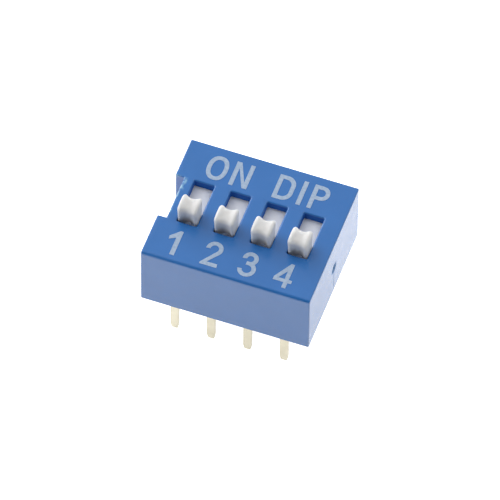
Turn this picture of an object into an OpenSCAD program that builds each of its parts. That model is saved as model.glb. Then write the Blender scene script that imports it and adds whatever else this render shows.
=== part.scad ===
// Four-way slide DIP switch for through-hole boards.
// The origin is on the seating plane, at the centre of the pin grid. X runs along the row of
// switches from 1 to 4, +Y points to the ON side and +Z up. The sliders stand at their OFF end.

/* [Pin grid] */
// Distance between neighbouring switches, and between neighbouring pins of a row
pitch = 2.54; // [2.4:0.01:5.08]
// Distance between the two rows of pins
row_spacing = 7.62; // [7.3:0.01:15.24]

/* [Cover] */
// Thickness of the roof that the slots are cut in
roof_t = 0.6; // [0.4:0.05:1.2]
// Thickness of the front and back walls
long_wall_t = 0.65; // [0.4:0.05:1.5]
// Thickness of the end wall that stays behind the orientation notch
notch_web = 0.42; // [0.2:0.02:0.8]
// Depth of the orientation notch in the end wall beside switch 1
notch_depth = 0.63; // [0.2:0.01:1.2]
// Width of the orientation notch
notch_w = 3.4; // [1:0.1:5]
// Thickness of the ribs between neighbouring slider channels
rib_t = 0.58; // [0.3:0.02:0.8]
// Rounding of the roof's front edge
front_edge_r = 0.24; // [0.05:0.01:0.4]
// Rounding of the roof's other edges
roof_edge_r = 0.08; // [0.05:0.01:0.3]
// Rounding of the upright corners
corner_r = 0.1; // [0.04:0.01:0.3]
// Chamfer round the mouth of each slot
slot_chamfer = 0.05; // [0.02:0.01:0.12]
// How far the middle of the slots and the notch lies behind the middle of the cover
slot_y = 0.08; // [0:0.01:0.3]
// Diameter of the dimple round the moulding gate, in the end wall beside switch 4
gate_d = 0.9; // [0.5:0.05:1.5]
// Depth of that dimple
gate_depth = 0.1; // [0.04:0.01:0.25]
// Diameter of the gate's stub inside the dimple
gate_stub_d = 0.3; // [0.15:0.05:0.45]
// Height of that stub above the floor of the dimple
gate_stub_h = 0.08; // [0.02:0.01:0.2]
// Height of the gate above the seating plane
gate_z = 2.5; // [1.2:0.1:3.5]

/* [Base] */
// Thickness of the base, which closes the cover from below
base_t = 1.4; // [1:0.05:2.5]
// Plastic left between a terminal's leg and the base's long edge
base_edge = 0.25; // [0.15:0.01:0.8]
// Radius of the snap bead along each long edge of the base
bead_r = 0.12; // [0.06:0.01:0.2]
// Length of each snap bead
bead_l = 6; // [2:0.5:9]
// Height of the snap beads above the seating plane
bead_z = 0.75; // [0.4:0.05:0.9]

/* [Sliders] */
// Travel of a slider between OFF and ON
travel = 2.2; // [1:0.05:2.5]
// Width of a knob along the row
knob_w = 1.34; // [1:0.02:1.5]
// Length of a knob near its top, in its direction of travel
knob_l = 1.38; // [1.2:0.02:1.8]
// Length of a knob at its foot on the shutter plate
knob_foot_l = 0.9; // [0.6:0.02:1.2]
// Height of a knob's top above the roof
knob_h = 1.52; // [1.1:0.02:2]
// Rounding between a knob's top and its front and back
knob_corner_r = 0.3; // [0.1:0.02:0.5]
// Radius of the slight crown along a knob's top
knob_crown_r = 1.5; // [1.2:0.1:5]
// Rounding of a knob's outer edges
knob_edge_r = 0.12; // [0.04:0.01:0.16]
// Depth of the hollow along the middle of a knob, at its top, front and back
knob_dish = 0.13; // [0.05:0.01:0.25]
// Radius of the hollow, across the knob
hollow_r = 0.6; // [0.5:0.01:0.8]
// Rounding between the hollow's top and its front and back
hollow_corner_r = 0.32; // [0.2:0.02:0.5]
// Thickness of the web that the hollow leaves at the foot of a knob
knob_web = 0.2; // [0.1:0.02:0.5]
// Gap between a knob and each end of its slot, at the roof
slot_end_gap = 0.09; // [0.05:0.01:0.4]
// Thickness of the shutter plate that closes the slot from below
shutter_t = 0.7; // [0.4:0.05:1.2]
// How far the shutter plate reaches past the slot at either end of the travel
shutter_lap = 0.1; // [0.05:0.01:0.5]
// Height of the block below the shutter plate, which carries the contact spring
carrier_h = 1.67; // [1:0.05:3]
// Length of that block
carrier_l = 2.4; // [1.6:0.1:3]
// Diameter of the peg that holds the contact spring
peg_d = 0.4; // [0.3:0.02:0.6]
// Diameter of the staked head on that peg
peg_head_d = 0.66; // [0.5:0.02:0.8]
// Thickness of the staked head
peg_head_t = 0.14; // [0.08:0.02:0.25]

/* [Contact springs] */
// Thickness of the spring strip
spring_t = 0.12; // [0.08:0.01:0.15]
// Width of the spring strip
spring_w = 0.96; // [0.8:0.02:1.3]
// Height of the spring, from the block that carries it down to the contact pads
spring_h = 0.66; // [0.5:0.02:1.2]
// Length of the flat middle of the spring
spring_flat_l = 1; // [0.8:0.05:1.2]
// Distance from the middle of the spring to each contact point
contact_reach = 1.45; // [1.3:0.05:1.7]
// Radius of the rolled contact tips, at the middle of the strip
tip_r = 0.17; // [0.12:0.01:0.2]
// Width of the slit that splits each contact tip in two
slit_w = 0.14; // [0.08:0.02:0.3]

/* [Terminals] */
// Thickness of the terminal strip
terminal_t = 0.28; // [0.2:0.02:0.4]
// Width of the contact pad and of the leg inside the base
pad_w = 1.2; // [0.8:0.05:1.6]
// Width of a pin below the base
pin_w = 0.58; // [0.4:0.02:0.7]
// Length of a pin below the seating plane
pin_l = 3.75; // [2:0.05:5]
// Width of a pin at its tip
pin_tip_w = 0.42; // [0.2:0.02:0.5]
// Thickness of a pin at its tip
pin_tip_t = 0.18; // [0.12:0.02:0.24]
// Length of the taper at a pin's tip
pin_taper_l = 0.5; // [0.2:0.05:1]
// Height of the shoulder between leg and pin above the seating plane
shoulder_z = 0.45; // [0.3:0.05:0.7]
// Inner radius of the bend between leg and pad
bend_r = 0.12; // [0.05:0.01:0.25]
// Bare plastic between the front and the back pad of one switch
isolation_gap = 0.8; // [0.5:0.05:1]

/* [Clearances] */
// Gap on each side of a slider in its channel
side_gap = 0.03; // [0.01:0.01:0.1]
// Gap on each side of a knob in its slot
knob_gap = 0.03; // [0.01:0.01:0.1]
// Gap between the shutter plates and the roof
roof_gap = 0.03; // [0.01:0.01:0.1]
// Gap between a shutter plate and the cover's wall at the end of the travel
wall_gap = 0.1; // [0.05:0.01:0.5]
// Gap between a contact tip and the pad below it
contact_gap = 0.02; // [0.01:0.01:0.06]
// Gap round the base in the cover, and round the terminals and pegs in their holes
seat_gap = 0.02; // [0.01:0.01:0.06]

/* [Hidden] */
$fn = 96;
positions = 4;
eps = 0.01;

carrier_z = base_t + contact_gap + spring_h;
shutter_z = carrier_z + carrier_h;
slider_top_z = shutter_z + shutter_t;
roof_z = slider_top_z + roof_gap;
body_h = roof_z + roof_t;
knob_top_z = body_h + knob_h;

crown_z = knob_top_z - knob_crown_r;
crown_tilt = asin((knob_l / 2 - knob_corner_r) / (knob_crown_r - knob_corner_r));
knob_corner = [0, crown_z] + (knob_crown_r - knob_corner_r) * [sin(crown_tilt), cos(crown_tilt)];
knob_lean = lean_to(knob_foot_l / 2, knob_corner, knob_corner_r);
knob_roof_l = knob_foot_l + 2 * (body_h - slider_top_z) * tan(knob_lean);
hollow_corner = [knob_l / 2, knob_top_z] - (knob_dish + hollow_corner_r) * [1, 1];
hollow_lean = lean_to(knob_web / 2, hollow_corner, hollow_corner_r);

channel_w = pitch - rib_t;
shutter_w = channel_w - 2 * side_gap;
slot_w = knob_w + 2 * knob_gap;
slot_l = knob_roof_l + travel + 2 * slot_end_gap;
shutter_l = slot_l + travel + 2 * shutter_lap;

end_wall_t = notch_web + notch_depth;
row_l = (positions - 1) * pitch + channel_w;
body_l = row_l + 2 * end_wall_t;
run_for_shutters = shutter_l + travel + 2 * (wall_gap + slot_y);
run_for_terminals = row_spacing + terminal_t + 2 * (base_edge + seat_gap);
cavity_w = max(run_for_shutters, run_for_terminals);
body_w = cavity_w + 2 * long_wall_t;

rest_y = slot_y - travel / 2;
base_l = row_l - 2 * seat_gap;
base_w = cavity_w - 2 * seat_gap;
pad_gap_y = rest_y + contact_reach;

cover_colour = [0.20, 0.42, 0.72];
base_colour = [0.10, 0.11, 0.13];
slider_colour = [0.93, 0.92, 0.90];
spring_colour = [0.86, 0.70, 0.38];
terminal_colour = [0.90, 0.84, 0.70];

// Place of a switch along the row, counted from 1
function switch_x(i) = (i - (positions + 1) / 2) * pitch;

// Point at a radius and an angle round a centre
function on_circle(centre, r, a) = centre + r * [cos(a), sin(a)];

// Angle from upright of the line that rises from a knob's foot and touches a corner of radius r
function lean_to(foot_y, corner, r) =
  let (reach = corner - [foot_y, slider_top_z]) atan2(reach[0], reach[1]) + asin(r / norm(reach));

// Flat shapes

// Rectangle with four rounded corners, centred
module rounded_rect(l, w, r) {
  square([l - 2 * r, w], center = true);
  square([l, w - 2 * r], center = true);
  for (x = [-1, 1], y = [-1, 1])
    translate([x * (l / 2 - r), y * (w / 2 - r)]) circle(r);
}

// Upright section: square at the foot and rounded at the top, with one radius at each side
module rounded_top(l, h, left_r, right_r) {
  difference() {
    translate([-l / 2, 0]) square([l, h]);
    translate([left_r - l / 2, h - left_r]) difference() {
      translate([-left_r - eps, 0]) square(left_r + eps);
      circle(left_r);
    }
    translate([l / 2 - right_r, h - right_r]) difference() {
      square(right_r + eps);
      circle(right_r);
    }
  }
}

// Side view of a knob: front and back lean outwards to two rounded corners, which run into a crown
module knob_outline() {
  foot = [knob_foot_l / 2 - eps * tan(knob_lean), slider_top_z - eps];
  shoulder = on_circle(knob_corner, knob_corner_r, -knob_lean);
  crown_end = on_circle(knob_corner, knob_corner_r, 90 - crown_tilt);
  half = [foot, shoulder, crown_end];
  mirrored = [for (k = [len(half) - 1 : -1 : 0]) [-half[k][0], half[k][1]]];
  polygon(concat(half, mirrored));
  for (side = [-1, 1]) translate([side * knob_corner[0], knob_corner[1]]) circle(knob_corner_r);
  intersection() {
    translate([0, crown_z]) circle(knob_crown_r);
    translate([-crown_end[0], knob_corner[1]]) square([2 * crown_end[0], knob_crown_r]);
  }
}

// Cover

// Outside of the cover: its plan and its two upright sections meet in one rounded block
module cover_block() {
  intersection() {
    linear_extrude(body_h) rounded_rect(body_l, body_w, corner_r);
    rotate([90, 0, 0])
      linear_extrude(body_w, center = true) rounded_top(body_l, body_h, roof_edge_r, roof_edge_r);
    rotate([90, 0, 90])
      linear_extrude(body_l, center = true) rounded_top(body_w, body_h, front_edge_r, roof_edge_r);
  }
}

// Straight-sided slot with a chamfered mouth in the roof
module slot_cut() {
  c = slot_chamfer;
  translate([-slot_w / 2, -slot_l / 2, roof_z - eps]) cube([slot_w, slot_l, roof_t + 2 * eps]);
  intersection() {
    rotate([90, 0, 0]) linear_extrude(slot_l + 4 * c, center = true) chamfer_section(slot_w);
    rotate([90, 0, 90]) linear_extrude(slot_w + 4 * c, center = true) chamfer_section(slot_l);
  }
}

// Section of the slot's mouth, widening upwards at 45 degrees
module chamfer_section(w) {
  c = slot_chamfer;
  top = body_h + eps;
  polygon([[-w / 2, body_h - c], [w / 2, body_h - c], [w / 2 + c + eps, top], [-w / 2 - c - eps, top]]);
}

// Dimple of the moulding gate, with the gate's stub left standing in it
module gate_dimple() {
  translate([body_l / 2 - gate_depth, 0, gate_z]) rotate([0, 90, 0])
    difference() {
      cylinder(d = gate_d, h = gate_depth + eps);
      translate([0, 0, -eps]) cylinder(d = gate_stub_d, h = gate_stub_h + eps);
    }
}

// Snap bead along a long edge of the base, or its groove in the cover
module snap_bead(side, grow) {
  translate([0, side * base_w / 2, bead_z]) rotate([0, 90, 0])
    cylinder(r = bead_r + grow, h = bead_l + 2 * grow, center = true);
}

module cover() {
  color(cover_colour) difference() {
    cover_block();
    translate([-row_l / 2, -cavity_w / 2, -eps]) cube([row_l, cavity_w, base_t + eps]);
    for (i = [1 : positions]) translate([switch_x(i), 0, 0]) {
      translate([-channel_w / 2, -cavity_w / 2, 0]) cube([channel_w, cavity_w, roof_z]);
      translate([0, slot_y, 0]) slot_cut();
    }
    translate([-body_l / 2 - eps, slot_y - notch_w / 2, -eps])
      cube([notch_depth + eps, notch_w, body_h + 2 * eps]);
    gate_dimple();
    for (side = [-1, 1]) snap_bead(side, seat_gap);
  }
}

// Terminals, drawn as for the back row at +Y and turned round for the front row

// Upright section of a terminal: leg, bend and contact pad, with a thinned pin tip
module terminal_section(pad_end) {
  y_in = row_spacing / 2 - terminal_t / 2;
  y_out = row_spacing / 2 + terminal_t / 2;
  outer_r = bend_r + terminal_t;
  thin = (terminal_t - pin_tip_t) / 2;
  difference() {
    polygon([
      [y_out, base_t], [pad_end, base_t], [pad_end, base_t - terminal_t],
      [y_in - bend_r, base_t - terminal_t], [y_in, base_t - terminal_t - bend_r],
      [y_in, pin_taper_l - pin_l], [y_in + thin, -pin_l],
      [y_out - thin, -pin_l], [y_out, pin_taper_l - pin_l]
    ]);
    translate([y_in - bend_r, base_t - outer_r]) {
      difference() {
        square(outer_r + eps);
        circle(outer_r);
      }
      circle(bend_r);
    }
  }
}

// Front outline of a terminal: broad leg, shoulders and a narrower tapered pin
module terminal_outline() {
  half = [
    [pad_w / 2, base_t + eps], [pad_w / 2, shoulder_z], [pin_w / 2, shoulder_z],
    [pin_w / 2, pin_taper_l - pin_l], [pin_tip_w / 2, -pin_l - eps]
  ];
  mirrored = [for (k = [len(half) - 1 : -1 : 0]) [-half[k][0], half[k][1]]];
  polygon(concat(half, mirrored));
}

module terminal(pad_end) {
  color(terminal_colour) intersection() {
    rotate([90, 0, 90]) linear_extrude(pad_w, center = true) terminal_section(pad_end);
    rotate([90, 0, 0]) linear_extrude(4 * row_spacing, center = true) terminal_outline();
  }
}

// Room for a terminal in the base: pad pocket, leg pocket, bend relief and pin hole
module terminal_room(pad_end) {
  g = seat_gap;
  y_in = row_spacing / 2 - terminal_t / 2;
  leg_t = terminal_t + 2 * g;
  pad_floor = base_t - terminal_t - g;
  translate([-pad_w / 2 - g, pad_end - g, pad_floor])
    cube([pad_w + 2 * g, y_in + terminal_t + g - (pad_end - g), terminal_t + g + eps]);
  translate([-pad_w / 2 - g, y_in - g, shoulder_z - g])
    cube([pad_w + 2 * g, leg_t, base_t - shoulder_z]);
  translate([-pad_w / 2 - g, y_in - bend_r - g, pad_floor - bend_r])
    cube([pad_w + 2 * g, bend_r + 2 * g, bend_r + eps]);
  translate([-pin_w / 2 - g, y_in - g, -eps])
    cube([pin_w + 2 * g, leg_t, shoulder_z]);
}

// Turns a child drawn for the back row round to the front row
module in_row(side) {
  rotate([0, 0, side < 0 ? 180 : 0]) children();
}

// Inner end of a pad, measured outwards from the middle of the switch
function pad_end(side) = side * pad_gap_y + isolation_gap / 2;

module terminal_at(i, side) {
  translate([switch_x(i), 0, 0]) in_row(side) terminal(pad_end(side));
}

// Base

module base() {
  color(base_colour) difference() {
    union() {
      translate([-base_l / 2, -base_w / 2, 0]) cube([base_l, base_w, base_t]);
      for (side = [-1, 1]) snap_bead(side, 0);
    }
    for (i = [1 : positions], side = [-1, 1])
      translate([switch_x(i), 0, 0]) in_row(side) terminal_room(pad_end(side));
  }
}

// Sliders

// Turns a child drawn for the back of a knob round to its front as well
module front_and_back() {
  children();
  rotate([0, 0, 180]) children();
}

// Block whose back leans with the knob's back and has rounded upright edges
module leaning_block() {
  reach = 2 * knob_l;
  translate([0, knob_foot_l / 2, slider_top_z]) rotate([-knob_lean, 0, 0])
    translate([0, -reach / 2, -knob_h]) linear_extrude(4 * knob_h) rounded_rect(knob_w, reach, knob_edge_r);
}

// Hollow along the middle of a knob: over the top, round each corner and down the front and back
module knob_hollow() {
  off_axis = hollow_corner_r + hollow_r;
  translate([0, 0, hollow_corner[1] + off_axis]) rotate([90, 0, 0])
    cylinder(r = hollow_r, h = 2 * knob_l, center = true);
  front_and_back() translate([0, hollow_corner[0], hollow_corner[1]]) {
    rotate([0, -90, 0]) rotate_extrude(angle = 90 + hollow_lean) translate([off_axis, 0]) circle(hollow_r);
    rotate([-hollow_lean, 0, 0]) translate([0, off_axis, -2 * knob_h]) cylinder(r = hollow_r, h = 2 * knob_h);
  }
}

module knob() {
  difference() {
    intersection() {
      rotate([90, 0, 90]) linear_extrude(knob_w, center = true) knob_outline();
      rotate([90, 0, 0]) linear_extrude(2 * knob_l, center = true)
        rounded_top(knob_w, knob_top_z, knob_edge_r, knob_edge_r);
      leaning_block();
      rotate([0, 0, 180]) leaning_block();
    }
    knob_hollow();
  }
}

// Peg under the carrier, staked over the contact spring
module spring_peg() {
  peg_l = spring_t + seat_gap;
  translate([0, 0, carrier_z - peg_l]) cylinder(d = peg_d, h = peg_l + eps);
  translate([0, 0, carrier_z - peg_l - peg_head_t]) cylinder(d = peg_head_d, h = peg_head_t);
}

module slider(i) {
  color(slider_colour) translate([switch_x(i), rest_y, 0]) {
    translate([-shutter_w / 2, -shutter_l / 2, shutter_z]) cube([shutter_w, shutter_l, shutter_t]);
    translate([-shutter_w / 2, -carrier_l / 2, carrier_z]) cube([shutter_w, carrier_l, carrier_h + eps]);
    knob();
    spring_peg();
  }
}

// Contact springs

// Side view of a contact spring: flat middle, two sloping arms and rolled contact tips
module spring_section() {
  half_t = spring_t / 2;
  start = [spring_flat_l / 2, -half_t];
  tip = [contact_reach, half_t + tip_r - spring_h];
  reach = start - tip;
  meet_a = atan2(reach[1], reach[0]) + acos(tip_r / norm(reach));
  arm = [-sin(meet_a), cos(meet_a)];
  out = [cos(meet_a), sin(meet_a)];
  roll_end_a = 345;
  steps = 12;
  roll = [for (k = [0 : steps]) meet_a + (roll_end_a - meet_a) * k / steps];
  upper = start - half_t * out;
  lower = start + half_t * out;
  half = concat(
    [upper - upper[1] / arm[1] * arm],
    [for (a = roll) on_circle(tip, tip_r - half_t, a)],
    [for (k = [steps : -1 : 0]) on_circle(tip, tip_r + half_t, roll[k])],
    [lower - (lower[1] + spring_t) / arm[1] * arm]
  );
  mirrored = [for (k = [len(half) - 1 : -1 : 0]) [-half[k][0], half[k][1]]];
  polygon(concat(half, mirrored));
}

module contact_spring(i) {
  slit_from = spring_flat_l / 2 + spring_t;
  color(spring_colour) translate([switch_x(i), rest_y, carrier_z]) difference() {
    rotate([90, 0, 90]) linear_extrude(spring_w, center = true) spring_section();
    translate([0, 0, -spring_t - eps]) cylinder(d = peg_d + 2 * seat_gap, h = spring_t + 2 * eps);
    for (side = [-1, 1]) translate([0, side * (slit_from + contact_reach), -spring_h / 2])
      cube([slit_w, 2 * contact_reach, 2 * spring_h], center = true);
  }
}

cover();
base();
for (i = [1 : positions]) {
  slider(i);
  contact_spring(i);
  terminal_at(i, -1);
  terminal_at(i, 1);
}
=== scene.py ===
import math

import bmesh
import bpy
import numpy as np
from mathutils import Matrix, Vector
from mathutils.geometry import delaunay_2d_cdt


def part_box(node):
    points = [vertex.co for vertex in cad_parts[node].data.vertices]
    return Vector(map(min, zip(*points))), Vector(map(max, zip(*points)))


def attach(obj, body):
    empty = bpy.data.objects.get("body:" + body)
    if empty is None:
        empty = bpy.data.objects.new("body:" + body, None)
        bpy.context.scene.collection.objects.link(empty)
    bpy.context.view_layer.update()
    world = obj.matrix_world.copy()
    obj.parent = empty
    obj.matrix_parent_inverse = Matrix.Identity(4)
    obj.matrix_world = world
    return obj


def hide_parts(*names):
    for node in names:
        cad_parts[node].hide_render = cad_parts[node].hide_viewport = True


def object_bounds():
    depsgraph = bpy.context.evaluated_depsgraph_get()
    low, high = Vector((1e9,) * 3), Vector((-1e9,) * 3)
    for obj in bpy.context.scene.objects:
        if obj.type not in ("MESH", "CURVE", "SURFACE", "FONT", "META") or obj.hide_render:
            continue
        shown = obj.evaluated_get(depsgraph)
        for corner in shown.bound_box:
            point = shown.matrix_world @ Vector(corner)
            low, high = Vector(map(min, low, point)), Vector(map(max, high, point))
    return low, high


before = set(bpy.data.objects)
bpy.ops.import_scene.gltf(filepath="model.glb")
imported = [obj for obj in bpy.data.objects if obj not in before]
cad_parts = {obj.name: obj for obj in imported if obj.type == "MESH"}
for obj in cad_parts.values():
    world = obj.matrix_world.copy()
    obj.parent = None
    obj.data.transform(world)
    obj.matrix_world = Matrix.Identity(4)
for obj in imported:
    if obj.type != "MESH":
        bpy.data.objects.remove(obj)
cad_low, cad_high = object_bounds()

# Sizes in millimetres. The ones that the frame holds are read from it.
MM = 0.001


def node_box(node):
    """Lowest and highest corner of a CAD node, in millimetres."""
    low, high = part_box(node)
    return np.array(low) / MM, np.array(high) / MM


SWITCHES = (1, 2, 3, 4)
SLIDER_BOX = {i: node_box(f"slider_{i}") for i in SWITCHES}
SWITCH_X = {i: float(low[0] + high[0]) / 2 for i, (low, high) in SLIDER_BOX.items()}
PITCH = SWITCH_X[2] - SWITCH_X[1]
SLIDER_LOW, SLIDER_HIGH = SLIDER_BOX[1]
SLIDER_L = float(SLIDER_HIGH[1] - SLIDER_LOW[1])
SLIDER_Y = float(SLIDER_LOW[1] + SLIDER_HIGH[1]) / 2
KNOB_TOP = SLIDER_HIGH[2]
BODY_X, BODY_Y, BODY_H = node_box("cover")[1]
BASE_T = node_box("base")[1][2]
TRAVEL = 2.2
SEAT_GAP = 0.02

# Outside of the cover
ROOF_T, LONG_WALL_T, RIB_T = 0.6, 0.65, 0.58
FRONT_R, ROOF_R, FOOT_R, CORNER_R = 0.24, 0.08, 0.04, 0.1
NOTCH_W, NOTCH_D, NOTCH_ROOT_R = 3.4, 0.63, 0.06
GATE_Z, GATE_R, GATE_DEPTH, GATE_RING_W = 2.5, 0.42, 0.08, 0.1
GATE_STUB_R, GATE_STUB_FLARE = 0.1, 0.06
# Profile of the gate's stub, as shares of its radius and of the dimple's depth
GATE_STUB_SHARES = ((1.0, 0.5), (0.8, 0.2), (0.0, 0.1))

# Knobs
KNOB_W, KNOB_L, KNOB_FOOT_L, KNOB_GAP = 1.34, 1.38, 0.9, 0.03
KNOB_CORNER_R, KNOB_CROWN_R = 0.3, 1.5
KNOB_EDGE_R, KNOB_EDGE_RISE, KNOB_EDGE_AT_FOOT = 0.17, 1.1, 0.8
KNOB_DISH, KNOB_WEB, HOLLOW_R, HOLLOW_CORNER_R, RIDGE_R = 0.13, 0.2, 0.6, 0.32, 0.1
NEARLY_FLAT = 50.0

# Sliders below their knobs
SLIDER_EDGE_R = 0.05
SHUTTER_T, SHUTTER_LAP, SHUTTER_ROOF_GAP = 0.7, 0.1, 0.03
CARRIER_L, CARRIER_H, CARRIER_STEP = 2.4, 1.67, 0.06
PEG_R, PEG_L, PEG_HEAD_R, PEG_HEAD_EDGE = 0.2, 0.14, 0.33, 0.06
ROOF_Z = BODY_H - ROOF_T
SLIDER_TOP = ROOF_Z - SHUTTER_ROOF_GAP
SHUTTER_Z = SLIDER_TOP - SHUTTER_T
CARRIER_Z = SHUTTER_Z - CARRIER_H

# Slots in the roof, and the inside of the cover
SLOT_W, SLOT_L = KNOB_W + 2 * KNOB_GAP, SLIDER_L - TRAVEL - 2 * SHUTTER_LAP
SLOT_Y = SLIDER_Y + TRAVEL / 2
SLOT_MOUTH_R, SLOT_CORNER_R = 0.11, 0.08
CHANNEL_W, CAVITY_W = PITCH - RIB_T, 2 * (BODY_Y - LONG_WALL_T)
BEAD_L, BEAD_R, BEAD_Z = 6.0, 0.12, 0.75

# Terminals
ROW_SPACING = 7.62
TERMINAL_T, TERMINAL_EDGE_R, BEND_R = 0.28, 0.05, 0.12
SHOULDER_Z, SHOULDER_STEP = 0.45, 0.001
PIN_W, PIN_TIP_W, PIN_TIP_T, PIN_TAPER_L = 0.58, 0.42, 0.18, 0.5
PIN_END_R, PIN_END_THINNING = 0.12, 0.07

# Printed marks
INK_T, STROKE, INK_CORNER_R = 0.012, 0.29, 0.02
WORD_Y, WORD_H = 2.24, 1.96
NUMBER_Y, NUMBER_H = -4.36, 1.98

# Fineness of the surfaces: steps in a rounded edge, and the angle in degrees from which an edge is sharp
EDGE_STEPS, SHARP_ANGLE = 6, 40
# Distance in millimetres below which the points of a flat are one
SAME_POINT = 1e-6
# Distances in metres below which points are welded and slivers are taken out
WELD, SLIVER = 2e-7, 1e-8
# Mark by which the weighted normals know a flat face
STRONG_FACE = 16384

# Surfaces


def quarter(steps=EDGE_STEPS):
    """Angles from 0 to a quarter turn, spread evenly, in radians."""
    return np.radians(np.linspace(0, 90, steps + 1))


def arc(centre, radius, start, end, steps):
    """Points round an arc: centre + radius (cos a, sin a), with the angle a spread evenly in degrees."""
    a = np.radians(np.linspace(start, end, steps + 1))
    return np.asarray(centre) + radius * np.column_stack([np.cos(a), np.sin(a)])


def rounded_loop(corners, radii, inset=0.0, steps=EDGE_STEPS):
    """Points round a right-angled outline, counter-clockwise, moved inwards by inset.

    Each corner is a quarter circle about a fixed centre. Its radius loses the inset where the
    outline turns left and gains it where the outline turns right.
    """
    corners = np.asarray(corners, float)
    radii = np.broadcast_to(np.asarray(radii, float), len(corners))[:, None]
    before = corners - np.roll(corners, 1, axis=0)
    after = np.roll(corners, -1, axis=0) - corners
    before /= np.linalg.norm(before, axis=1, keepdims=True)
    after /= np.linalg.norm(after, axis=1, keepdims=True)
    turn = np.sign(before[:, :1] * after[:, 1:] - before[:, 1:] * after[:, :1])
    left_before = before[:, ::-1] * (-1, 1)
    left_after = after[:, ::-1] * (-1, 1)
    centre = corners + turn * radii * (left_before + left_after)
    reach = turn * (radii - turn * inset)
    a = quarter(steps)[None, :, None]
    swing = np.cos(a) * left_before[:, None] + np.sin(a) * left_after[:, None]
    return (centre[:, None] - reach[:, None] * swing).reshape(-1, 2)


def box_loop(low, high, radius, inset=0.0, steps=EDGE_STEPS):
    """Rounded rectangle between two corners, moved inwards by inset."""
    corners = [(low[0], low[1]), (high[0], low[1]), (high[0], high[1]), (low[0], high[1])]
    return rounded_loop(corners, radius, inset, steps)


def level(points, z):
    """Plan points (x, y) at height z."""
    return np.column_stack([points, np.full(len(points), z)])


def upright(points, y):
    """Points (x, z) in the upright plane at y."""
    return np.column_stack([points[:, 0], np.full(len(points), y), points[:, 1]])


def inside(points, loops):
    """True for points inside an odd number of the loops: a ray along +x crosses them that often."""
    x, y = points[:, :1], points[:, 1:]
    crossings = 0
    for loop in loops:
        a, b = loop, np.roll(loop, -1, axis=0)
        spans = (a[:, 1] > y) != (b[:, 1] > y)
        rise = np.where(a[:, 1] == b[:, 1], 1.0, b[:, 1] - a[:, 1])
        meets_x = a[:, 0] + (y - a[:, 1]) * (b[:, 0] - a[:, 0]) / rise
        crossings = crossings + (spans & (x < meets_x)).sum(axis=1)
    return crossings % 2 == 1


class Skin:
    """Collects the faces of one closed surface, in millimetres."""

    def __init__(self):
        self.points, self.faces, self.flat_faces, self.count = [], [], [], 0

    def add(self, points, faces, flat=False):
        """Adds points and the faces between them, numbered from the first of these points."""
        points = np.asarray(points, float).reshape(-1, 3)
        faces = np.asarray(faces)
        self.faces += (faces + self.count).tolist()
        self.flat_faces += [flat] * len(faces)
        self.points.append(points)
        self.count += len(points)

    def sheet(self, grid, around=True, skip=()):
        """Quads over a grid of points, rows x columns; around joins the last column to the first.

        The quads in skip, given by row and column, are left out.
        """
        grid = np.asarray(grid, float)
        number = np.arange(grid.shape[0] * grid.shape[1]).reshape(grid.shape[:2])
        after = np.roll(number, -1, axis=1)
        quads = np.stack([number[:-1], after[:-1], after[1:], number[1:]], axis=-1)
        keep = np.ones(quads.shape[:2], bool)
        keep[:, -1] = around
        for row, column in skip:
            keep[row, column] = False
        self.add(grid, quads[keep])

    def flat(self, loops, place):
        """Triangles over a flat region: the first loop is its outline and the others are its holes.

        Triangles in the holes are dropped, and place sets the others in space.
        """
        starts = np.cumsum([0] + [len(loop) for loop in loops])
        edges = [
            (start + k, start + (k + 1) % len(loop))
            for start, loop in zip(starts, loops)
            for k in range(len(loop))
        ]
        points = [Vector(point) for point in np.vstack(loops)]
        corners, _, triangles, *_ = delaunay_2d_cdt(points, edges, [], 0, SAME_POINT)
        corners, triangles = np.array(corners), np.array(triangles)
        kept = triangles[inside(corners[triangles].mean(axis=1), loops)]
        self.add(place(corners), kept, flat=True)

    def cap(self, loop):
        """One flat face over a loop of points."""
        self.add(loop, [range(len(loop))], flat=True)

    def piece(self, name, material, body, nodes=()):
        """Makes the object: welds seams, turns faces outwards and shades rounded edges smoothly."""
        mesh = bpy.data.meshes.new(name)
        mesh.from_pydata((np.vstack(self.points) * MM).tolist(), [], self.faces)
        strength = mesh.attributes.new("__mod_weightednormals_faceweight", "INT", "FACE")
        strength.data.foreach_set("value", np.where(self.flat_faces, STRONG_FACE, 0).astype(np.int32))
        work = bmesh.new()
        work.from_mesh(mesh)
        bmesh.ops.remove_doubles(work, verts=work.verts, dist=WELD)
        bmesh.ops.dissolve_degenerate(work, edges=work.edges, dist=SLIVER)
        bmesh.ops.recalc_face_normals(work, faces=work.faces)
        work.to_mesh(mesh)
        work.free()
        mesh.shade_smooth()
        mesh.set_sharp_from_angle(angle=math.radians(SHARP_ANGLE))
        made = bpy.data.objects.new(name, mesh)
        bpy.context.scene.collection.objects.link(made)
        weighted = made.modifiers.new("flat_faces_stay_flat", "WEIGHTED_NORMAL")
        weighted.keep_sharp = True
        weighted.use_face_influence = True
        weighted.weight = 100
        mesh.materials.append(material)
        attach(made, body)
        if nodes:
            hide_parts(*nodes)


def rounded_wall(skin, outline, low_z, low_r, high_z, high_r):
    """Upright wall round outline(inset), its lower and upper edges rounded by quarter circles."""
    a = quarter()
    insets = np.concatenate([low_r * (1 - np.sin(a)), high_r * (1 - np.cos(a))])
    heights = np.concatenate([low_z + low_r * (1 - np.cos(a)), high_z - high_r * (1 - np.sin(a))])
    skin.sheet([level(outline(i), z) for i, z in zip(insets, heights)])


# Cover


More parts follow.
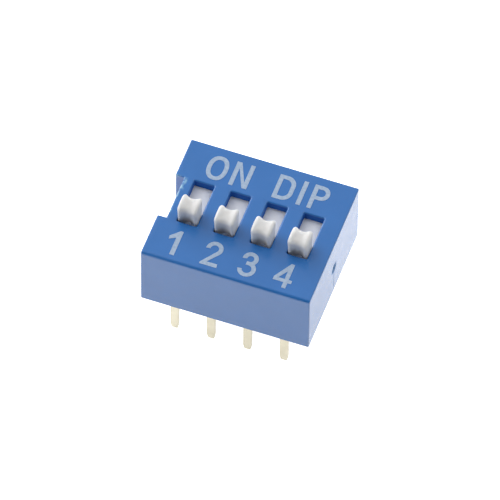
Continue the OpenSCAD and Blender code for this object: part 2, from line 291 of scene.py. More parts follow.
def cover_plan(inset, front):
    """Plan of the cover, moved inwards by front at its front edge and by inset at its other edges.

    It is a rectangle with rounded corners and a notch in its left side.
    """
    x, y = BODY_X - inset, BODY_Y - inset
    front_y, root_x = front - BODY_Y, NOTCH_D - x
    notch_low, notch_high = SLOT_Y - NOTCH_W / 2 - inset, SLOT_Y + NOTCH_W / 2 + inset
    corners = [
        (-x, front_y), (x, front_y), (x, y), (-x, y),
        (-x, notch_high), (root_x, notch_high), (root_x, notch_low), (-x, notch_low),
    ]
    radii = np.full(len(corners), CORNER_R - inset)
    at_root = [5, 6]
    radii[at_root] = NOTCH_ROOT_R + inset
    return rounded_loop(corners, radii)


def cover_wall(skin):
    """Outside of the cover, as level plans from foot to roof, without the flat of its right wall.

    The plans follow a quarter circle at the foot and one of radius FRONT_R at the roof's front edge. At
    the roof's other edges, the inset at depth d is r - sqrt(r^2 - (r - d)^2) with the smaller radius r.
    """
    a, b = quarter(), quarter(2 * EDGE_STEPS)
    foot = FOOT_R * (1 - np.sin(a))
    depth = FRONT_R * (1 - np.sin(b))
    roof = ROOF_R - np.sqrt(ROOF_R**2 - np.maximum(ROOF_R - depth, 0) ** 2)
    insets = np.concatenate([foot, roof])
    fronts = np.concatenate([foot, FRONT_R * (1 - np.cos(b))])
    heights = np.concatenate([FOOT_R * (1 - np.cos(a)), BODY_H - depth])
    right_wall = (EDGE_STEPS, 2 * EDGE_STEPS + 1)
    plans = [level(cover_plan(i, f), z) for i, f, z in zip(insets, fronts, heights)]
    skin.sheet(plans, skip=[right_wall])


def gate_in_right_wall(skin):
    """Flat of the right wall with the dimple of the moulding gate.

    The dimple is a profile of radius and depth, turned about the wall's normal. It starts with a flat
    ring. From the ring's inner rim the depth follows half a wave, (1 - cos(pi u)) / 2, to the foot of
    the broken stub in the middle.
    """
    turns, steps = 48, 8
    around = np.radians(np.arange(turns) * 360 / turns)
    u = np.linspace(0, 1, steps + 1)
    foot_r = GATE_STUB_R + GATE_STUB_FLARE
    ring = [(GATE_R + GATE_RING_W, 0.0)]
    dish = np.column_stack([GATE_R + (foot_r - GATE_R) * u, GATE_DEPTH * (1 - np.cos(math.pi * u)) / 2])
    stub = np.array(GATE_STUB_SHARES) * (GATE_STUB_R, GATE_DEPTH)
    radius, depth = np.vstack([ring, dish, stub]).T[:, :, None]
    x = np.broadcast_to(BODY_X - depth, (len(depth), turns))
    dimple = np.stack([x, radius * np.cos(around), GATE_Z + radius * np.sin(around)], axis=-1)
    skin.sheet(dimple)
    y, top = BODY_Y - CORNER_R, BODY_H - FRONT_R
    wall = np.array([(-y, FOOT_R), (y, FOOT_R), (y, top), (-y, top)])
    skin.flat([wall, dimple[0][:, 1:]], lambda p: np.column_stack([np.full(len(p), BODY_X), p]))


def slot_plan(x, outset):
    """Plan of a slot in the roof, widened by outset."""
    half, middle = np.array([SLOT_W, SLOT_L]) / 2, np.array([x, SLOT_Y])
    return box_loop(middle - half, middle + half, SLOT_CORNER_R, -outset)


def slot_wall(skin, x):
    """Wall of a slot from the roof down to its channel, its mouth rounded by a quarter circle."""
    a = quarter()[::-1]
    outsets = np.append(SLOT_MOUTH_R * (1 - np.cos(a)), 0)
    heights = np.append(BODY_H - SLOT_MOUTH_R * (1 - np.sin(a)), ROOF_Z)
    skin.sheet([level(slot_plan(x, o), z) for o, z in zip(outsets, heights)])


def bead_groove(skin, side):
    """Groove for a snap bead in a long wall: an arc carried along the wall and closed at both ends.

    Returns the outline of its mouth.
    """
    radius = BEAD_R + SEAT_GAP
    opening = math.degrees(math.acos(SEAT_GAP / radius))
    y, z = arc((CAVITY_W / 2 - SEAT_GAP, BEAD_Z), radius, -opening, opening, 2 * EDGE_STEPS).T
    right = BEAD_L / 2 + SEAT_GAP
    left = -right
    ends = [np.column_stack([np.full(len(y), x), side * y, z]) for x in (left, right)]
    skin.sheet(ends, around=False)
    for end in ends:
        skin.cap(end)
    return np.array([(left, z[0]), (right, z[0]), (right, z[-1]), (left, z[-1])])


def channels(skin):
    """Inside of the cover: a comb of channels and ribs, carried from the front wall to the back wall.

    Each channel's ceiling opens into its slot. Returns the plan of the pocket that the base closes.
    """
    y = CAVITY_W / 2
    comb = []
    for x in SWITCH_X.values():
        slot_wall(skin, x)
        left, right = x - CHANNEL_W / 2, x + CHANNEL_W / 2
        ceiling = np.array([(left, -y), (right, -y), (right, y), (left, y)])
        skin.flat([ceiling, slot_plan(x, 0)], lambda p: level(p, ROOF_Z))
        comb += [(left, BASE_T), (left, ROOF_Z), (right, ROOF_Z), (right, BASE_T)]
    left, right = comb[0][0], comb[-1][0]
    comb[0], comb[-1] = (left, 0), (right, 0)
    comb = np.array(comb)
    # The second of each channel's four stretches is its ceiling, which is there already
    ceilings = [(0, 4 * k + 1) for k in range(len(SWITCHES))]
    skin.sheet([upright(comb, -y), upright(comb, y)], around=False, skip=ceilings)
    for side in (-1, 1):
        mouth = bead_groove(skin, side)
        skin.flat([comb, mouth], lambda p, end=side * y: upright(p, end))
    return np.array([(left, -y), (right, -y), (right, y), (left, y)])


def cover(material):
    """Moulded cover: rounded outside, four slots in its roof, and channels between ribs inside."""
    skin = Skin()
    cover_wall(skin)
    gate_in_right_wall(skin)
    mouths = [slot_plan(x, SLOT_MOUTH_R) for x in SWITCH_X.values()]
    skin.flat([cover_plan(ROOF_R, FRONT_R)] + mouths, lambda p: level(p, BODY_H))
    pocket = channels(skin)
    skin.flat([cover_plan(FOOT_R, FOOT_R), pocket], lambda p: level(p, 0))
    skin.piece("cover_shell", material, "housing", ["cover"])


# Sliders


def knob_path(foot, reach, top, r, crown):
    """Half of a knob's side view from its foot to the middle of its top, as distances and heights.

    A straight line rises from the foot and runs into a corner arc of radius r, which leans out as far as
    reach. The corner runs into the arc of the crown, and each part leaves in the direction of the next.
    """
    rise_steps, bend_steps, crown_steps = 8, 14, 8
    tilt = math.asin((reach - r) / (crown - r))
    corner = np.array([reach - r, top - crown + (crown - r) * math.cos(tilt)])
    start = np.array([foot, SLIDER_TOP])
    way = corner - start
    lean = math.atan2(way[0], way[1]) + math.asin(r / np.hypot(*way))
    bend = arc(corner, r, -math.degrees(lean), 90 - math.degrees(tilt), bend_steps)
    rise = start + (bend[0] - start) * np.linspace(0, 1, rise_steps + 1)[:-1, None]
    over = arc((0, top - crown), crown, 90 - math.degrees(tilt), 90, crown_steps)[1:]
    return np.vstack([rise, bend, over])


def knob(skin, x):
    """Knob: two cheeks and, between them, a hollow up the front, over the top and down the back.

    Across the knob the surface starts at a cheek's rounded edge, a little tighter near the foot. From
    there it sinks towards the path of the hollow like a circle's arc of depth d, which is smoothed as
    d + sqrt(d^2 + r^2) and scaled to run from 0 at the edge to 1 in the middle. Returns the plan of the
    knob's foot.
    """
    half, reach, foot, e = KNOB_W / 2, KNOB_L / 2, KNOB_FOOT_L / 2, KNOB_EDGE_R
    cheek = knob_path(foot, reach, KNOB_TOP, KNOB_CORNER_R, KNOB_CROWN_R)
    side = knob_path(foot - e, reach - e, KNOB_TOP - e, KNOB_CORNER_R - e, KNOB_CROWN_R - e)
    sunk_reach, sunk_top = reach - KNOB_DISH, KNOB_TOP - KNOB_DISH
    hollow = knob_path(KNOB_WEB / 2, sunk_reach, sunk_top, HOLLOW_CORNER_R, NEARLY_FLAT)
    ease = np.clip((cheek[:, 1:] - SLIDER_TOP) / KNOB_EDGE_RISE, KNOB_EDGE_AT_FOOT, 1)
    side = cheek + (side - cheek) * ease

    columns, edge_steps = 43, 7
    across = np.linspace(-1, 1, columns) * (half - e * ease)
    deepest = np.linalg.norm(cheek - hollow, axis=1)[:, None]
    d = deepest - HOLLOW_R + np.sqrt(np.maximum(HOLLOW_R**2 - across**2, 0))
    sink = d + np.sqrt(d**2 + RIDGE_R**2)
    at_rim, at_middle = sink[:, :1], sink[:, columns // 2, None]
    sink = ((sink - at_rim) / (at_middle - at_rim))[..., None]
    middle = cheek[:, None] + (hollow - cheek)[:, None] * sink

    a = quarter(edge_steps)[:-1]
    edge = side[:, None] + (cheek - side)[:, None] * np.sin(a)[:, None]
    rim = e * ease * (1 - np.cos(a))
    back_path = np.concatenate([edge, middle, edge[:, ::-1]], axis=1)
    back_x = np.concatenate([rim - half, across, half - rim[:, ::-1]], axis=1)
    path = np.concatenate([back_path * (-1, 1), back_path[-2::-1]])
    path_x = np.concatenate([back_x, back_x[-2::-1]])
    grid = np.dstack([x + path_x, SLIDER_Y + path[..., 0], path[..., 1]])
    skin.sheet(grid, around=False)
    skin.cap(grid[:, 0])
    skin.cap(grid[:, -1])
    return np.vstack([grid[0, :, :2], grid[-1, ::-1, :2]])


def spring_peg(skin, x, low_z):
    """Peg below the carrier with its staked head: a profile of radius and height turned round.

    Returns the plan of the peg's root.
    """
    turns, head_z = 32, CARRIER_Z - PEG_L
    profile = [
        (PEG_R, CARRIER_Z), (PEG_R, head_z), (PEG_HEAD_R, head_z),
        (PEG_HEAD_R, low_z + PEG_HEAD_EDGE), (PEG_R, low_z), (0, low_z),
    ]
    rings = [level(arc((x, SLIDER_Y), r, 0, 360, turns)[:-1], z) for r, z in profile]
    skin.sheet(rings)
    return rings[0][:, :2]


def slider(i, material):
    """Slider: knob on a shutter that closes the slot, with the carrier and its spring peg below."""
    skin = Skin()
    low, high = SLIDER_BOX[i]
    edge = SLIDER_EDGE_R

    def shutter(inset):
        """Plan of the shutter plate, moved inwards by inset."""
        return box_loop(low, high, 2 * edge, inset)

    def carrier(inset):
        """Plan of the carrier, moved inwards by inset."""
        left, right = low[0] + CARRIER_STEP, high[0] - CARRIER_STEP
        front, back = SLIDER_Y - CARRIER_L / 2, SLIDER_Y + CARRIER_L / 2
        return box_loop((left, front), (right, back), 2 * edge, inset)

    knob_foot = knob(skin, SWITCH_X[i])
    rounded_wall(skin, shutter, SHUTTER_Z, edge, SLIDER_TOP, edge)
    skin.flat([shutter(edge), knob_foot], lambda p: level(p, SLIDER_TOP))
    skin.flat([shutter(edge), carrier(0)], lambda p: level(p, SHUTTER_Z))
    rounded_wall(skin, carrier, CARRIER_Z, edge, SHUTTER_Z, 0)
    peg_root = spring_peg(skin, SWITCH_X[i], low[2])
    skin.flat([carrier(edge), peg_root], lambda p: level(p, CARRIER_Z))
    skin.piece(f"slider_{i}_body", material, f"switch_{i}", [f"slider_{i}"])


# Terminals


def terminal(name, material):
    """Terminal: a rounded rectangle carried along the pad, round the bend and down the pin.

    The rectangle narrows at the shoulder. Along the taper its width and thickness shrink in a straight
    line, and at the very end they shrink further by a quarter circle and a quarter ellipse. A station
    holds its place (y, z), the angle of the strip's outer face in degrees, and half of the width and
    thickness.
    """
    low, high = node_box(name)
    x, wide = (low[0] + high[0]) / 2, (high[0] - low[0]) / 2
    side = 1 if high[1] + low[1] > 0 else -1
    pad_end = min(side * low[1], side * high[1])
    thick, edge = TERMINAL_T / 2, TERMINAL_EDGE_R
    pad_z, leg_y = high[2] - thick, ROW_SPACING / 2
    bend = (leg_y - thick - BEND_R, pad_z - thick - BEND_R)

    stations = [
        (pad_end, pad_z, 90, wide - edge, thick - edge),
        (pad_end + edge, pad_z, 90, wide, thick),
    ]
    bend_steps, tip_steps, corner_steps = 12, 9, 4
    turns = np.linspace(90, 0, bend_steps + 1)
    for a, (y, z) in zip(turns, arc(bend, BEND_R + thick, 90, 0, bend_steps)):
        stations += [(y, z, a, wide, thick)]
    stations += [
        (leg_y, SHOULDER_Z + edge, 0, wide, thick),
        (leg_y, SHOULDER_Z, 0, wide - edge, thick),
        (leg_y, SHOULDER_Z, 0, PIN_W / 2, thick - SHOULDER_STEP),
        (leg_y, low[2] + PIN_TAPER_L, 0, PIN_W / 2, thick),
    ]
    for a in quarter(tip_steps):
        rise, shrink = PIN_END_R * (1 - math.sin(a)), 1 - math.cos(a)
        share = rise / PIN_TAPER_L
        w = (PIN_TIP_W + (PIN_W - PIN_TIP_W) * share) / 2 - PIN_END_R * shrink
        t = (PIN_TIP_T + (TERMINAL_T - PIN_TIP_T) * share) / 2 - PIN_END_THINNING * shrink
        stations += [(leg_y, low[2] + rise, 0, w, t)]

    skin = Skin()
    loops = []
    for y, z, a, w, t in stations:
        across, out = box_loop((-w, -t), (w, t), min(edge, t, w), steps=corner_steps).T
        out_y, out_z = math.cos(math.radians(a)), math.sin(math.radians(a))
        loops += [np.column_stack([x + across, side * (y + out * out_y), z + out * out_z])]
    skin.sheet(loops)
    skin.cap(loops[0])
    skin.cap(loops[-1])
    skin.piece(f"{name}_strip", material, "housing", [name])


# Printed marks: outlines of width w and height h, from each one's lower left corner


def letter_o(w, h):
    """Two rounded ovals: |x|^n + |y|^n = 1 with n = 2 / squareness, a little above 2."""
    squareness, turns = 0.88, 64
    a = np.radians(np.arange(turns) * 360 / turns)
    circle = np.column_stack([np.cos(a), np.sin(a)])
    oval = np.sign(circle) * np.abs(circle) ** squareness
    half = np.array([w, h]) / 2
    return [half + half * oval, half + (half - STROKE) * oval]


def letter_n(w, h):
    """Two posts with a slanted bar between them."""
    s, bar, bar_foot = STROKE, 1.1 * STROKE, 0.24 * h
    outline = [
        (0, 0), (s, 0), (s, h - bar_foot), (w - bar, 0), (w, 0),
        (w, h), (w - s, h), (w - s, bar_foot), (bar, h), (0, h),
    ]
    return [np.array(outline)]


def letter_d(w, h):
    """Box with two wide corners on its right, and a hole of the same kind."""
    s, tight, bowl_r, hole_r = STROKE, INK_CORNER_R, 0.68, 0.42
    bowl = box_loop((0, 0), (w, h), [tight, bowl_r, bowl_r, tight], steps=12)
    return [bowl, box_loop((s, s), (w - s, h - s), [tight, hole_r, hole_r, tight], steps=12)]


def letter_i(w, h):
    """Plain bar."""
    return [np.array([(0, 0), (w, 0), (w, h), (0, h)], float)]


def letter_p(w, h):
    """Post with a bowl at its top, which is a box with two wide corners on its right, and a hole."""
    s, tight, bowl_y = STROKE, INK_CORNER_R, 0.8
    r = (h - bowl_y) / 2 - tight
    corners = [(0, 0), (s, 0), (s, bowl_y), (w, bowl_y), (w, h), (0, h)]
    bowl = rounded_loop(corners, [tight, tight, tight, r, r, tight], steps=10)
    return [bowl, box_loop((s, bowl_y + s), (w - s, h - s), [tight, r - s, r - s, tight], steps=10)]


def digit_1(w, h):
    """Post with a slanted flag at its top."""
    s, top = 0.31, 0.2
    flag = [(0, h - 0.56), (0.03, h - 0.82), (w - s, h - 0.58)]
    return [np.array([(w - s, 0), (w, 0), (w, h), (w - top, h)] + flag)]


def digit_2(w, h):
    """Bow between two arcs, with a straight neck that runs into a bar at the foot."""
    r, start, end = 0.57, 188, -34
    centre = (0.6, h - r)
    foot = [(0.43, STROKE), (w - 0.03, STROKE), (w, 0), (0, 0), (0.02, 0.14)]
    return [np.vstack([arc(centre, r, start, end, 28), foot, arc(centre, r - STROKE, end, start, 28)])]


def digit_3(w, h):
    """Two bows, one above the other, each between two arcs, that meet in a short bar."""
    top_r, foot_r, bar_x = 0.53, 0.61, 0.42
    top, foot = (0.585, h - top_r), (0.6, foot_r)
    bar = [(bar_x, foot_r * 2 - STROKE), (bar_x, h - 2 * top_r + STROKE)]
    outline = [
        arc(top, top_r, 188, -43, 24),
        arc(foot, foot_r, 50, -172, 24),
        arc(foot, foot_r - STROKE, -172, 90, 24),
        bar,
        arc(top, top_r - STROKE, -90, 188, 24),
    ]
    return [np.vstack(outline)]


def digit_4(w, h):
    """Post, bar and slanted stroke, with a hole of three corners between them."""
    s, bar_y, bar_t = 0.28, 0.45, 0.26
    left = w - 0.24 - s
    right, bar_top = left + s, bar_y + bar_t
    outer = [
        (left, 0), (right, 0), (right, bar_y), (w, bar_y), (w, bar_top), (right, bar_top),
        (right, h), (left + 0.04, h), (0, bar_top), (0, bar_y), (left, bar_y),
    ]
    hole = [(0.3, bar_top), (left, bar_top), (left, h - 0.62)]
    return [np.array(outer), np.array(hole)]


# Name of the piece: list of (outline, left x, width)
WORDS = {
    "mark_on": [(letter_o, -4.12, 1.41), (letter_n, -2.35, 1.25)],
    "mark_dip": [(letter_d, 0.64, 1.25), (letter_i, 2.31, 0.3), (letter_p, 3.07, 1.16)],
}
NUMBERS = {
    "mark_1": [(digit_1, -4.51, 0.78)],
    "mark_2": [(digit_2, -1.98, 1.2)],
    "mark_3": [(digit_3, 0.5, 1.22)],
    "mark_4": [(digit_4, 2.96, 1.25)],
}


def printed_marks(marks, y, h, material):
    """Each mark is a thin raised film of ink: its outline filled at top and foot, with walls between."""
    foot_z, top_z = BODY_H - INK_T, BODY_H + INK_T
    for name, glyphs in marks.items():
        skin = Skin()
        for outline, x, w in glyphs:
            loops = [loop + (x, y) for loop in outline(w, h)]
            for z in (foot_z, top_z):
                skin.flat(loops, lambda p, z=z: level(p, z))
            for loop in loops:
                skin.sheet([level(loop, foot_z), level(loop, top_z)])
        skin.piece(name, material, "housing")


# Finishes


def fill(tree, node, inputs):
    """Fills a shader node's inputs with values or with other nodes' sockets."""
    for key, value in inputs.items():
        if isinstance(value, bpy.types.NodeSocket):
            tree.links.new(value, node.inputs[key])
        else:
            node.inputs[key].default_value = value


def add(tree, kind, inputs=None, **settings):
    """Adds a shader node, sets its options and fills its inputs."""
    made = tree.nodes.new(kind)
    for key, value in settings.items():
        setattr(made, key, value)
    fill(tree, made, inputs or {})
    return made


def new_finish(name):
    """An empty node material with its shader and the object's own coordinates."""
    made = bpy.data.materials.new(name)
    made.use_nodes = True
    tree = made.node_tree
    shader = tree.nodes["Principled BSDF"]
    place = add(tree, "ShaderNodeTexCoord").outputs["Object"]
    return made, tree, shader, place


def spread(tree, value, start, end, at_start, at_end):
    """Value carried in a straight line from (start, at_start) to (end, at_end), and held beyond them."""
    limits = {"From Min": start, "From Max": end, "To Min": at_start, "To Max": at_end}
    return add(tree, "ShaderNodeMapRange", {"Value": value, **limits}).outputs["Result"]


def grain(tree, place, size, low=0.0, high=1.0, detail=3.0):
    """Noise with features about size millimetres across, its usual range spread between two values."""
    usual_low, usual_high = 0.3, 0.7
    settings = {"Vector": place, "Scale": 1 / (size * MM), "Detail": detail}
    noise = add(tree, "ShaderNodeTexNoise", settings)
    return spread(tree, noise.outputs["Fac"], usual_low, usual_high, low, high)


def tint(tree, factor, first, second):
    """Colour between two tones, each a colour or a socket."""
    first, second = (
        tone if isinstance(tone, bpy.types.NodeSocket) else (*tone, 1) for tone in (first, second)
    )
    return add(tree, "ShaderNodeMix", {0: factor, 6: first, 7: second}, data_type="RGBA").outputs[2]


def blend(tree, factor, first, second):
    """Value between two values, each a number or a socket."""
    return add(tree, "ShaderNodeMix", {0: factor, 2: first, 3: second}).outputs[0]


def joined(tree, operation, first, *others):
    """Values joined one after another by a maths operation."""
    for other in others:
        first = add(tree, "ShaderNodeMath", {0: first, 1: other}, operation=operation).outputs[0]
    return first


def times(tree, *masks):
    """Product of masks: 1 where all of them are."""
    return joined(tree, "MULTIPLY", *masks)


def either(tree, *masks):
    """Largest of masks: 1 where any of them is."""
    return joined(tree, "MAXIMUM", *masks)


def near(tree, place, axis, middle, full, none):
    """1 within full of the middle along an axis, falling to 0 at none, in millimetres."""
    coordinate = add(tree, "ShaderNodeSeparateXYZ", {0: place}).outputs[axis]
    offset = joined(tree, "SUBTRACT", coordinate, middle * MM)
    far = add(tree, "ShaderNodeMath", {0: offset}, operation="ABSOLUTE").outputs[0]
    return spread(tree, far, full * MM, none * MM, 1.0, 0.0)


def within_slots(tree, place):
    """1 on the walls of the slots and on all that lies below them inside the cover, else 0. There the
    cover is made matt and painted a darker blue as painted shade.
    """
    row, slot = SWITCH_X[4] + CHANNEL_W / 2, SLOT_Y + SLOT_L / 2
    return times(
        tree,
        near(tree, place, "X", 0, row + 0.01, row + 0.02),
        near(tree, place, "Y", 0, slot + 0.3, slot + 0.34),
        near(tree, place, "Z", 0, BODY_H - 0.15, BODY_H - 0.05),
    )


def notch_wear_and_highlight(tree, place):
    """Ragged mask along the roof's edge at the root and the back of the notch, widest in the corner.
    It carries a pale tone that is partly rubbed wear and partly a painted highlight.
    """

    def band(axis, middle, full, none):
        """Mask near a place along one axis."""
        return near(tree, place, axis, middle, full, none)

    half, root_x, back_y = NOTCH_W / 2, NOTCH_D - BODY_X, SLOT_Y + NOTCH_W / 2
    root = times(tree, band("X", root_x, 0.04, 0.14), band("Y", SLOT_Y, half, half + 0.1))
    back = times(tree, band("Y", back_y, 0.03, 0.12), band("X", -BODY_X, NOTCH_D, NOTCH_D + 0.1))
    corner = times(tree, band("X", root_x + 0.08, 0.1, 0.24), band("Y", back_y - 0.5, 0.3, 0.6))
    roof_edge = band("Z", BODY_H, 0.04, 0.2)
    ragged = grain(tree, place, 0.35, -0.5, 1.3, 4.0)
    return times(tree, either(tree, root, back, corner), roof_edge, ragged)


def gate_mark(tree, place):
    """Mask over the broken gate on the right wall and over a faint line from it down to the foot."""
    centre = (BODY_X * MM, 0, GATE_Z * MM)
    far = add(tree, "ShaderNodeVectorMath", {0: place, 1: centre}, operation="DISTANCE")
    full, none = 0.8 * GATE_R, GATE_R + GATE_RING_W
    spot = spread(tree, far.outputs["Value"], full * MM, none * MM, 1.0, 0.0)
    half, faintness = GATE_Z / 2, 0.6
    line = times(
        tree,
        near(tree, place, "Y", 0, 0.02, 0.09),
        near(tree, place, "Z", half, half - 0.6, half),
        near(tree, place, "X", BODY_X, 0.02, 0.1),
    )
    return either(tree, spot, times(tree, line, faintness))


def bump(tree, height, depth):
    """Normal bent by a height field, depth in millimetres."""
    made = add(tree, "ShaderNodeBump", {"Height": height, "Distance": depth * MM, "Strength": 1.0})
    return made.outputs["Normal"]


def cover_finish():
    """Blue moulded plastic: satin with slow flow tones and a fine mould grain, pale along the notch's
    roof edge as partly rubbed wear and partly a painted highlight, dull at the gate, and inside the
    slots matt and painted a darker blue as painted shade.
    """
    made, tree, shader, place = new_finish("blue_moulded_plastic")
    deep_blue, blue = (0.016, 0.143, 0.445), (0.019, 0.154, 0.475)
    # The darkest blue here is painted shade for the insides of the slots.
    # The palest blue here is partly rubbed wear and partly a painted highlight on the notch's edge.
    notch_wear_and_highlight_blue, gate_blue, slot_shade_blue = (0.25, 0.49, 0.67), (0.04, 0.17, 0.4), (0.012, 0.11, 0.42)
    matt = 0.6
    gate, within = gate_mark(tree, place), within_slots(tree, place)
    tone = tint(tree, grain(tree, place, 2.5, detail=2.0), deep_blue, blue)
    # Partly rubbed wear, partly painted highlight: a pale tone along the notch's roof edge.
    tone = tint(tree, notch_wear_and_highlight(tree, place), tone, notch_wear_and_highlight_blue)
    tone = tint(tree, gate, tone, gate_blue)
    satin = blend(tree, gate, grain(tree, place, 0.6, 0.20, 0.26), matt)
    fill(tree, shader, {
        # Painted shade: inside the slots the colour turns to a darker blue, where the walls lie in
        # shade.
        "Base Color": tint(tree, within, tone, slot_shade_blue),
        "Roughness": blend(tree, within, satin, matt),
        "IOR": 1.66,
        "Specular IOR Level": blend(tree, within, 0.5, 0.1),
        "Normal": bump(tree, grain(tree, place, 0.06), 0.0008),
    })
    return made


def slider_finish():
    """White moulded plastic with faint grey toning, painted lighter and bluer on the shutters' tops as
    painted light bounced from the blue slot walls.
    """
    made, tree, shader, place = new_finish("white_moulded_plastic")
    grey_white, white, shutter_bounce_white = (0.665, 0.659, 0.65), (0.715, 0.712, 0.705), (0.76, 0.785, 0.84)
    tone = tint(tree, grain(tree, place, 0.9), grey_white, white)
    on_shutter = near(tree, place, "Z", SLIDER_TOP, 0.03, 0.12)
    fill(tree, shader, {
        # Painted light: the shutters' tops are made lighter and bluer, as if lit by light bounced from
        # the blue slot walls.
        "Base Color": tint(tree, on_shutter, tone, shutter_bounce_white),
        "Roughness": grain(tree, place, 0.4, 0.55, 0.65),
        "IOR": 1.48,
        "Specular IOR Level": 0.25,
        "Subsurface Weight": 0.9,
        "Subsurface Radius": (0.9, 0.95, 1.0),
        "Subsurface Scale": 0.7 * MM,
        "Normal": bump(tree, grain(tree, place, 0.05), 0.001),
    })
    return made


def ink_finish():
    """Pale printed ink, a little thin in places so that the blue tones it."""
    made, tree, shader, place = new_finish("pale_ink")
    thin, thick = (0.275, 0.38, 0.54), (0.395, 0.5, 0.65)
    fill(tree, shader, {
        "Base Color": tint(tree, grain(tree, place, 0.16, detail=4.0), thin, thick),
        "Roughness": grain(tree, place, 0.1, 0.45, 0.6),
        "Normal": bump(tree, grain(tree, place, 0.08), 0.002),
    })
    return made


def terminal_finish():
    """Pale plated strip: tiny drawing lines along the pin and slightly duller patches."""
    made, tree, shader, place = new_finish("pale_plated_metal")
    dull, bright = (0.524, 0.487, 0.375), (0.58, 0.543, 0.428)
    drawn = add(tree, "ShaderNodeMapping", {"Vector": place, "Scale": (1.0, 1.0, 0.05)})
    lines = grain(tree, drawn.outputs["Vector"], 0.03)
    fill(tree, shader, {
        "Base Color": tint(tree, grain(tree, place, 0.7), dull, bright),
        "Metallic": 1.0,
        "Roughness": grain(tree, place, 0.3, 0.30, 0.42),
        "Normal": bump(tree, lines, 0.0015),
    })
    return made


def spring_finish():
    """Warm plated spring metal, rolled smooth."""
    made, tree, shader, place = new_finish("gold_plated_spring")
    deep_gold, gold = (0.80, 0.58, 0.24), (0.88, 0.68, 0.34)
    fill(tree, shader, {
        "Base Color": tint(tree, grain(tree, place, 0.5), deep_gold, gold),
        "Metallic": 1.0,
        "Roughness": grain(tree, place, 0.2, 0.22, 0.32),
    })
    return made


def base_finish():
    """Near-black moulded plastic, matt, with a mould grain."""
    made, tree, shader, place = new_finish("black_moulded_plastic")
    black, grey_black = (0.010, 0.011, 0.013), (0.018, 0.019, 0.022)
    fill(tree, shader, {
        "Base Color": tint(tree, grain(tree, place, 1.2), black, grey_black),
        "Roughness": grain(tree, place, 0.4, 0.42, 0.55),
        "Normal": bump(tree, grain(tree, place, 0.05), 0.0015),
    })
    return made


# Studio, in metres and degrees


def seen_directly(tree):
    """1 for rays from the camera and for mirror and glass rays, else 0."""
    path = add(tree, "ShaderNodeLightPath").outputs
    return either(tree, path["Is Camera Ray"], path["Is Glossy Ray"], path["Is Transmission Ray"])


def floor():
    """Plain white floor just under the pins. It looks white, and darkens a little where it is shaded."""
    half, gap = 1.5, 0.00002
    z = cad_low[2] - gap
    corners = [(-half, -half, z), (half, -half, z), (half, half, z), (-half, half, z)]
    mesh = bpy.data.meshes.new("floor")
    mesh.from_pydata(corners, [], [(0, 1, 2, 3)])
    made = bpy.data.objects.new("floor", mesh)
    bpy.context.scene.collection.objects.link(made)
    material = bpy.data.materials.new("white_floor")
    material.use_nodes = True
    tree = material.node_tree
    tree.nodes.clear()
    lit = add(tree, "ShaderNodeBsdfDiffuse", {"Color": (0.95, 0.95, 0.95, 1)})
    white = add(tree, "ShaderNodeEmission", {"Strength": seen_directly(tree)})
    both = add(tree, "ShaderNodeAddShader", {0: lit.outputs[0], 1: white.outputs[0]})
    add(tree, "ShaderNodeOutputMaterial", {"Surface": both.outputs[0]})
    mesh.materials.append(material)


def softbox(name, azimuth, elevation, size, radiance):
    """Square area light that faces the object and glows with an even radiance."""
    distance = 0.6
    data = bpy.data.lights.new(name, "AREA")
    data.shape = "SQUARE"
    data.size = size
    data.energy = radiance * math.pi * size**2
    made = bpy.data.objects.new(name, data)
    a, e = math.radians(azimuth), math.radians(elevation)
    towards = Vector((math.sin(a) * math.cos(e), -math.cos(a) * math.cos(e), math.sin(e)))
    made.location = towards * distance
    made.rotation_euler = towards.to_track_quat("Z", "Y").to_euler()
    bpy.context.scene.collection.objects.link(made)


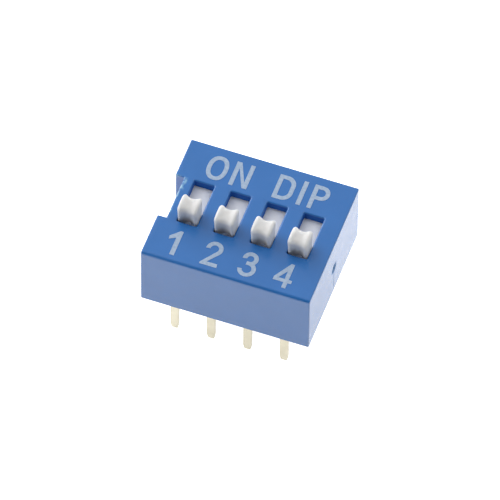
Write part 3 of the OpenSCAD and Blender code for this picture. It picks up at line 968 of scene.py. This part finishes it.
def world_light(bright, dim):
    """Soft light from all round, dimmer from the camera's side, with a white backdrop for the camera."""
    dark_side, dims_from, dimmest_from = (0.5, -0.72, 0.48), 0.22, 0.74
    world = bpy.data.worlds.new("studio")
    bpy.context.scene.world = world
    world.use_nodes = True
    tree = world.node_tree
    tree.nodes.clear()
    direction = add(tree, "ShaderNodeTexCoord").outputs["Generated"]
    nearness = add(tree, "ShaderNodeVectorMath", {0: direction, 1: dark_side}, operation="DOT_PRODUCT")
    soft = spread(tree, nearness.outputs["Value"], dims_from, dimmest_from, bright, dim)
    to_camera = add(tree, "ShaderNodeLightPath").outputs["Is Camera Ray"]
    glow = add(tree, "ShaderNodeBackground", {"Strength": blend(tree, to_camera, soft, 1.0)})
    add(tree, "ShaderNodeOutputWorld", {"Surface": glow.outputs[0]})


def camera():
    """Long lens that looks down on the front right corner, with the picture turned by a small roll."""
    azimuth, elevation, roll = (math.radians(a) for a in (19.105, 54.445, 0.793))
    distance, aim_right, aim_up = 0.6609, 0.000032, 0.0010166
    right = Vector((math.cos(azimuth), math.sin(azimuth), 0))
    ahead = Vector((-math.sin(azimuth), math.cos(azimuth), 0))
    forward = ahead * math.cos(elevation) - Vector((0, 0, math.sin(elevation)))
    up = right.cross(forward)
    c, s = math.cos(roll), math.sin(roll)
    right, up = right * c + up * s, up * c - right * s
    aim = right * aim_right + up * aim_up
    data = bpy.data.cameras.new("camera")
    data.sensor_width = 36
    data.lens = 725.3
    data.clip_start, data.clip_end = 0.01, 10
    made = bpy.data.objects.new("camera", data)
    turn = Matrix((right, up, -forward)).transposed().to_4x4()
    made.matrix_world = Matrix.Translation(aim - forward * distance) @ turn
    bpy.context.scene.collection.objects.link(made)
    bpy.context.scene.camera = made


def build():
    """Makes every piece, dresses the CAD nodes that stay, and sets up the studio."""
    cover(cover_finish())
    white, plated, ink = slider_finish(), terminal_finish(), ink_finish()
    for i in SWITCHES:
        slider(i, white)
        for row in ("front", "back"):
            terminal(f"terminal_{row}_{i}", plated)
    printed_marks(WORDS, WORD_Y, WORD_H, ink)
    printed_marks(NUMBERS, NUMBER_Y, NUMBER_H, ink)

    gold = spring_finish()
    dressed = {"base": base_finish(), **{f"contact_spring_{i}": gold for i in SWITCHES}}
    for name, material in dressed.items():
        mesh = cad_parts[name].data
        mesh.materials.clear()
        mesh.materials.append(material)

    floor()
    world_light(0.97, 0.13)
    softbox("left_back_softbox", -125, 24, 0.5, 2.4)
    softbox("left_softbox", -90, 55, 0.35, 1.7)
    softbox("right_softbox", 100, 62, 0.4, 1.7)
    softbox("front_left_softbox", -50, 12, 0.3, 1.3)
    camera()
    bpy.context.scene.view_settings.view_transform = "Standard"


build()
